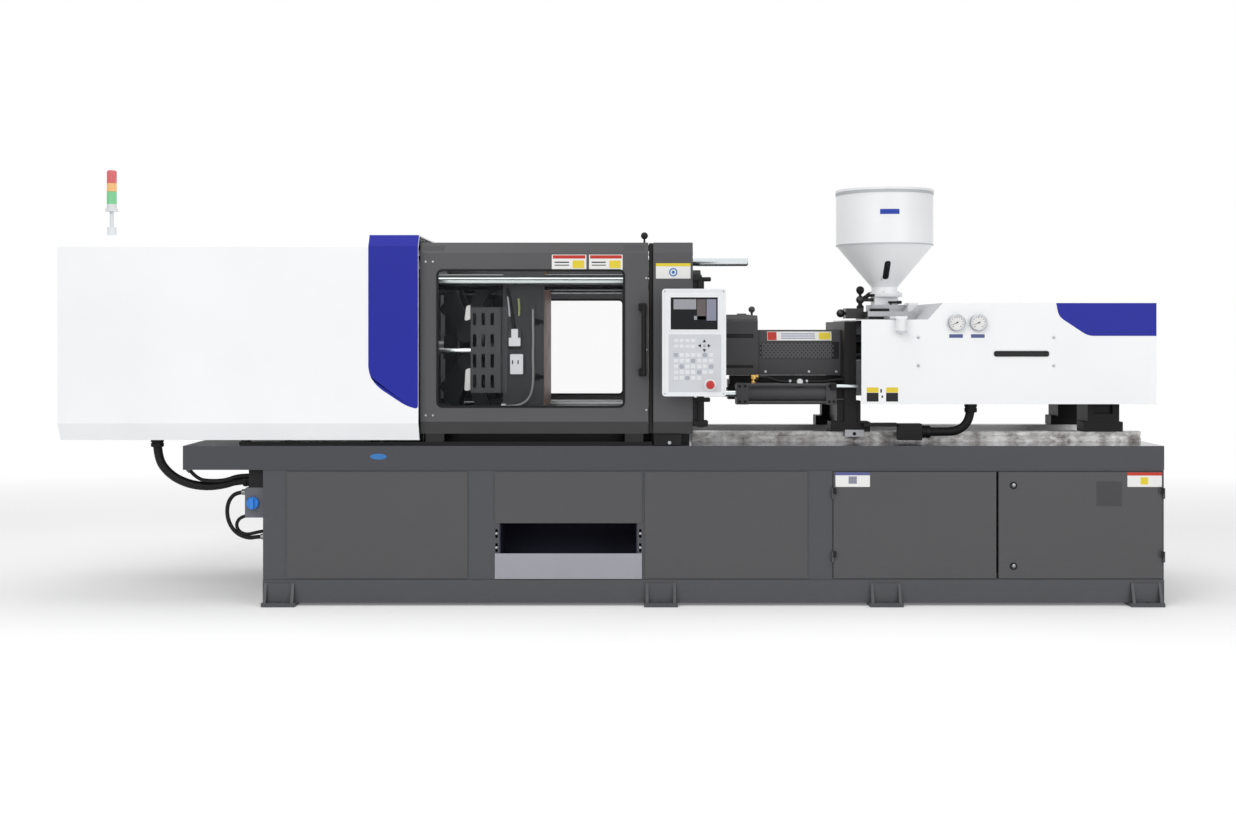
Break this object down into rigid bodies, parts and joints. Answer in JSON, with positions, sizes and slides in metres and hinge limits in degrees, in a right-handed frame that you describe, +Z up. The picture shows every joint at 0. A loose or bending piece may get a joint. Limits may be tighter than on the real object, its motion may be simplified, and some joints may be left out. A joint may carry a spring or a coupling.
{
  "type": "injection moulding machine",
  "caption": "Horizontal toggle-clamp injection moulding machine with sliding gates, injection carriage, hopper and swinging control panel on one welded bed.",
  "frame": {"origin": "on the floor under the middle of the machine's box", "axes": "+X from the clamp end towards the injection end, +Z up, the operator stands on the -Y side"},
  "size_m": [5.394, 1.42, 2.142],
  "materials": {
    "dark_paint": "satin",
    "platen_paint": "satin",
    "white_paint": "satin",
    "black_paint": "satin",
    "grey_sheet": "satin",
    "grey_casting": "satin",
    "machined_steel": "machined",
    "chrome_bar": "polished",
    "clear_pane": "clear",
    "black_plastic": "satin",
    "panel_white": "satin",
    "red_plastic": "gloss",
    "pale_plastic": "satin",
    "lens_plastic": "gloss",
    "grey_box": "satin",
    "blue_plastic": "gloss",
    "hose_rubber": "satin",
    "gauge_metal": "polished"
  },
  "bodies": {
    "bed": {"bed_frame": "dark_paint", "bed_panels": "dark_paint", "chute_tray": "grey_sheet", "switchgear": "grey_sheet", "rear_platen": "platen_paint", "fixed_platen": "platen_paint", "tie_bars": "chrome_bar", "tie_bar_nuts": "machined_steel", "clamp_cylinder": "platen_paint", "clamp_cover_front": "white_paint", "clamp_cover_rear": "white_paint", "column_covers": "dark_paint", "gate_rails": "machined_steel", "beacon_pole": "pale_plastic", "beacon_lenses": "lens_plastic", "carriage_rails": "black_paint", "panel_post": "black_paint", "junction_box": "grey_box", "cylinder_rods": "chrome_bar", "cable_bundle": "hose_rubber", "signal_cable": "hose_rubber", "oil_hose": "hose_rubber"},
    "front_gate": {"front_gate": "dark_paint", "front_gate_window": "clear_pane", "gate_handle": "black_plastic"},
    "rear_gate": {"rear_gate": "dark_paint", "rear_gate_window": "clear_pane"},
    "upper_rear_link": {"upper_rear_link": "machined_steel"},
    "upper_front_link": {"upper_front_link": "machined_steel"},
    "lower_rear_link": {"lower_rear_link": "machined_steel"},
    "lower_front_link": {"lower_front_link": "machined_steel"},
    "upper_crosshead_link": {"upper_crosshead_link": "machined_steel"},
    "lower_crosshead_link": {"lower_crosshead_link": "machined_steel"},
    "crosshead": {"crosshead": "machined_steel"},
    "moving_platen": {"moving_platen": "platen_paint", "ejector_guard": "black_paint", "platen_socket": "pale_plastic", "platen_cable": "hose_rubber", "platen_rods": "chrome_bar"},
    "ejector": {"ejector_plate": "machined_steel"},
    "carriage": {"front_support": "black_paint", "rear_support": "black_paint", "barrel": "machined_steel", "heater_bands": "machined_steel", "barrel_guard": "dark_paint", "carriage_cylinders": "dark_paint", "injection_cover": "white_paint", "pressure_gauges": "gauge_metal", "hopper_base": "grey_casting", "hopper": "white_paint", "injection_hose": "hose_rubber"},
    "injection_drive": {"injection_drive": "platen_paint"},
    "screw": {"screw": "machined_steel"},
    "hopper_lid": {"hopper_lid": "white_paint"},
    "purge_guard": {"purge_guard": "dark_paint"},
    "cabinet_door_left": {"cabinet_door_left": "dark_paint"},
    "cabinet_door_right": {"cabinet_door_right": "dark_paint"},
    "control_panel": {"control_panel": "panel_white"},
    "emergency_button": {"emergency_button": "red_plastic"},
    "selector_knob": {"selector_knob": "blue_plastic"}
  },
  "joints": [
    {"name": "front_gate_slide", "type": "slide", "parent": "bed", "child": "front_gate", "axis": [1, 0, 0], "range_m": [-0.85, 0]},
    {"name": "rear_gate_slide", "type": "slide", "parent": "bed", "child": "rear_gate", "axis": [1, 0, 0], "range_m": [-0.85, 0]},
    {"name": "clamp_toggle", "type": "hinge", "parent": "bed", "child": "upper_rear_link", "pos_m": [-0.861, 0.07, 1.585], "axis": [0, 1, 0], "range_deg": [-68, 9.4]},
    {"name": "upper_knee", "type": "hinge", "parent": "upper_rear_link", "child": "upper_front_link", "pos_m": [-0.757, 0.07, 1.32503], "axis": [0, 1, 0], "range_deg": [-18.8, 136]},
    {"name": "platen_pivot", "type": "hinge", "parent": "upper_front_link", "child": "moving_platen", "pos_m": [-0.653, 0.07, 1.585], "axis": [0, 1, 0], "range_deg": [-68, 9.4]},
    {"name": "lower_toggle", "type": "hinge", "parent": "bed", "child": "lower_rear_link", "pos_m": [-0.861, 0.07, 0.925], "axis": [0, 1, 0], "range_deg": [-9.4, 68]},
    {"name": "lower_knee", "type": "hinge", "parent": "lower_rear_link", "child": "lower_front_link", "pos_m": [-0.757, 0.07, 1.18497], "axis": [0, 1, 0], "range_deg": [-136, 18.8]},
    {"name": "upper_lug", "type": "hinge", "parent": "upper_rear_link", "child": "upper_crosshead_link", "pos_m": [-0.85691, 0.07, 1.45506], "axis": [0, 1, 0], "range_deg": [-18.8, 136]},
    {"name": "crosshead_pivot", "type": "hinge", "parent": "upper_crosshead_link", "child": "crosshead", "pos_m": [-0.85282, 0.07, 1.585], "axis": [0, 1, 0], "range_deg": [-68, 9.4]},
    {"name": "lower_lug", "type": "hinge", "parent": "lower_rear_link", "child": "lower_crosshead_link", "pos_m": [-0.85691, 0.07, 1.05494], "axis": [0, 1, 0], "range_deg": [-136, 18.8]},
    {"name": "ejector_slide", "type": "slide", "parent": "moving_platen", "child": "ejector", "axis": [1, 0, 0], "range_m": [0, 0.1]},
    {"name": "carriage_slide", "type": "slide", "parent": "bed", "child": "carriage", "axis": [1, 0, 0], "range_m": [-0.18, 0.19]},
    {"name": "injection_slide", "type": "slide", "parent": "carriage", "child": "injection_drive", "axis": [1, 0, 0], "range_m": [0, 0.2]},
    {"name": "screw_turn", "type": "hinge", "parent": "injection_drive", "child": "screw", "pos_m": [1, 0.07, 1.255], "axis": [1, 0, 0], "continuous": true},
    {"name": "hopper_lid_hinge", "type": "hinge", "parent": "carriage", "child": "hopper_lid", "pos_m": [1.433, 0.342, 2.076], "axis": [1, 0, 0], "range_deg": [-100, 0]},
    {"name": "purge_guard_hinge", "type": "hinge", "parent": "bed", "child": "purge_guard", "pos_m": [0.6, 0.307, 1.423], "axis": [1, 0, 0], "range_deg": [-100, 0]},
    {"name": "left_door_hinge", "type": "hinge", "parent": "bed", "child": "cabinet_door_left", "pos_m": [1.072, -0.537, 0.4], "axis": [0, 0, 1], "range_deg": [-110, 0]},
    {"name": "right_door_hinge", "type": "hinge", "parent": "bed", "child": "cabinet_door_right", "pos_m": [2.687, -0.537, 0.4], "axis": [0, 0, 1], "range_deg": [0, 110]},
    {"name": "panel_swing", "type": "hinge", "parent": "bed", "child": "control_panel", "pos_m": [0.427, -0.53, 1.25], "axis": [0, 0, 1], "range_deg": [-15, 95]},
    {"name": "emergency_press", "type": "slide", "parent": "control_panel", "child": "emergency_button", "axis": [0, 1, 0], "range_m": [0, 0.005], "stiffness_N_per_m": 1500, "springref_m": -0.002},
    {"name": "selector_turn", "type": "hinge", "parent": "bed", "child": "selector_knob", "pos_m": [-1.767, -0.49, 0.498], "axis": [0, 1, 0], "range_deg": [-90, 90]}
  ],
  "couplings": [
    {"joint": "upper_knee", "follows": "clamp_toggle", "ratio": -2},
    {"joint": "platen_pivot", "follows": "clamp_toggle", "ratio": 1},
    {"joint": "lower_toggle", "follows": "clamp_toggle", "ratio": -1},
    {"joint": "lower_knee", "follows": "clamp_toggle", "ratio": 2},
    {"joint": "upper_lug", "follows": "clamp_toggle", "ratio": -2},
    {"joint": "crosshead_pivot", "follows": "clamp_toggle", "ratio": 1},
    {"joint": "lower_lug", "follows": "clamp_toggle", "ratio": 2}
  ]
}
